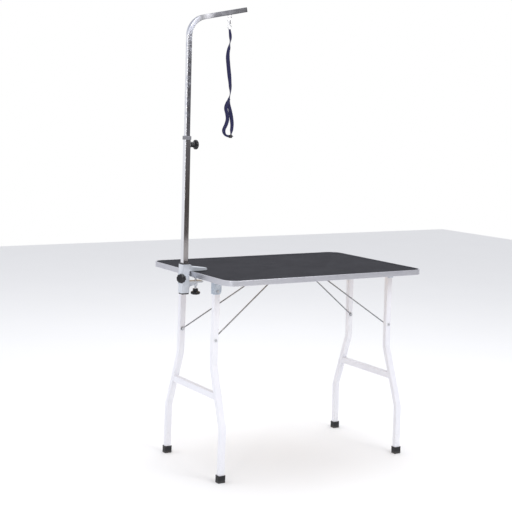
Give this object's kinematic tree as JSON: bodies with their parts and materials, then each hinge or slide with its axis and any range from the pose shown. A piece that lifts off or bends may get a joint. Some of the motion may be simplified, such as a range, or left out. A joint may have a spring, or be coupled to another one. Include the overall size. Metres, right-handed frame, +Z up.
{
  "type": "folding grooming table",
  "caption": "Folding pet grooming table with a rubber top, bent leg frames on brackets and stays, and a clamp-on adjustable pole with an overhead arm, snap hook and noose.",
  "frame": {"origin": "on the floor, at the middle of the footprint of everything but the noose's strap", "axes": "+X along the table top away from the pole, +Y across the top, +Z up"},
  "size_m": [0.9774, 0.616, 1.7827],
  "materials": {
    "black_plastic": "matte",
    "black_rubber": "matte",
    "board": "raw board",
    "casting": "silver paint",
    "chrome": "polished",
    "fastener": "zinc plated",
    "knob_plastic": "gloss",
    "rubber_mat": "matte, textured",
    "steel_rod": "zinc plated",
    "trim": "satin",
    "webbing": "woven",
    "white_coat": "powder coat",
    "zinc_plate": "zinc plated"
  },
  "bodies": {
    "table": {"board": "board", "board_screws": "fastener", "edge_trim": "trim", "left_brace_catch": "zinc_plate", "left_hinge_far": "zinc_plate", "left_hinge_near": "zinc_plate", "left_pivot_bolts": "fastener", "left_pivot_nuts": "fastener", "mat": "rubber_mat", "right_brace_catch": "zinc_plate", "right_hinge_far": "zinc_plate", "right_hinge_near": "zinc_plate", "right_pivot_bolts": "fastener", "right_pivot_nuts": "fastener"},
    "left_frame": {"left_brace_bolts": "fastener", "left_crossbar": "white_coat", "left_foot_far": "black_rubber", "left_foot_near": "black_rubber", "left_leg_far": "white_coat", "left_leg_near": "white_coat"},
    "right_frame": {"right_brace_bolts": "fastener", "right_crossbar": "white_coat", "right_foot_far": "black_rubber", "right_foot_near": "black_rubber", "right_leg_far": "white_coat", "right_leg_near": "white_coat"},
    "left_stay": {"left_brace_bar": "steel_rod", "left_brace_rod_far": "steel_rod", "left_brace_rod_near": "steel_rod"},
    "right_stay": {"right_brace_bar": "steel_rod", "right_brace_rod_far": "steel_rod", "right_brace_rod_near": "steel_rod"},
    "clamp": {"clamp_frame": "casting", "sleeve_bush_top": "black_plastic", "sleeve_bush_bottom": "black_plastic"},
    "clamp_pad": {"clamp_pad": "black_plastic"},
    "clamp_screw": {"clamp_screw": "fastener", "clamp_knob": "knob_plastic"},
    "sleeve_knob": {"sleeve_stud": "fastener", "sleeve_knob": "knob_plastic"},
    "lower_pole": {"lower_pole": "chrome", "pole_nut": "fastener", "pole_collar": "black_plastic"},
    "pole_knob": {"pole_stud": "fastener", "pole_knob": "knob_plastic"},
    "upper_pole": {"upper_pole": "chrome", "arm_end_cap": "black_plastic"},
    "snap_hook": {"snap_hook": "chrome"},
    "snap_trigger": {"snap_trigger": "chrome"},
    "noose": {"swivel_eye": "chrome", "noose_strap": "webbing", "noose_loop": "webbing", "noose_slider": "black_plastic"}
  },
  "joints": [
    {"name": "left_fold", "type": "hinge", "parent": "table", "child": "left_frame", "pos_m": [-0.37527, 0, 0.7154], "axis": [0, -1, 0], "range_deg": [0, 88]},
    {"name": "right_fold", "type": "hinge", "parent": "table", "child": "right_frame", "pos_m": [0.44573, 0, 0.7364], "axis": [0, 1, 0], "range_deg": [0, 90]},
    {"name": "left_brace", "type": "hinge", "parent": "left_frame", "child": "left_stay", "pos_m": [-0.3782, 0, 0.52902], "axis": [0, -1, 0], "range_deg": [-122, 0]},
    {"name": "right_brace", "type": "hinge", "parent": "right_frame", "child": "right_stay", "pos_m": [0.44899, 0, 0.52903], "axis": [0, 1, 0], "range_deg": [-124, 0]},
    {"name": "clamp_slide", "type": "slide", "parent": "table", "child": "clamp", "axis": [0, 1, 0], "range_m": [-0.07, 0.09]},
    {"name": "clamp_travel", "type": "slide", "parent": "clamp", "child": "clamp_pad", "axis": [0, 0, -1], "range_m": [0, 0.0095]},
    {"name": "clamp_turn", "type": "hinge", "parent": "clamp_pad", "child": "clamp_screw", "pos_m": [-0.39677, -0.01, 0.73], "axis": [0, 0, -1], "range_deg": [0, 2740]},
    {"name": "sleeve_knob_turn", "type": "hinge", "parent": "clamp", "child": "sleeve_knob", "pos_m": [-0.44777, -0.01, 0.756], "axis": [-0.7071, -0.7071, 0], "range_deg": [-360, 360]},
    {"name": "lower_pole_slide", "type": "slide", "parent": "clamp", "child": "lower_pole", "axis": [0, 0, 1], "range_m": [-0.15, 0.05]},
    {"name": "pole_knob_turn", "type": "hinge", "parent": "lower_pole", "child": "pole_knob", "pos_m": [-0.44777, -0.01, 1.26], "axis": [1, 0, 0], "range_deg": [-360, 360]},
    {"name": "upper_pole_slide", "type": "slide", "parent": "lower_pole", "child": "upper_pole", "axis": [0, 0, 1], "range_m": [-0.33, 0.11]},
    {"name": "hook_swing", "type": "hinge", "parent": "upper_pole", "child": "snap_hook", "pos_m": [-0.27518, -0.01, 1.74693], "axis": [0, 1, 0], "range_deg": [-12, 12]},
    {"name": "trigger_slide", "type": "slide", "parent": "snap_hook", "child": "snap_trigger", "axis": [0, 0, -1], "range_m": [0, 0.006], "stiffness_N_per_m": 200, "springref_m": -0.003},
    {"name": "noose_swivel", "type": "hinge", "parent": "snap_hook", "child": "noose", "pos_m": [-0.27518, -0.01, 1.7], "axis": [0, 0, 1], "continuous": true}
  ],
  "couplings": [
    {"joint": "left_brace", "follows": "left_fold", "ratio": -1.369},
    {"joint": "right_brace", "follows": "right_fold", "ratio": -1.3662},
    {"joint": "clamp_turn", "follows": "clamp_travel", "rad_per_m": 5026.6}
  ]
}
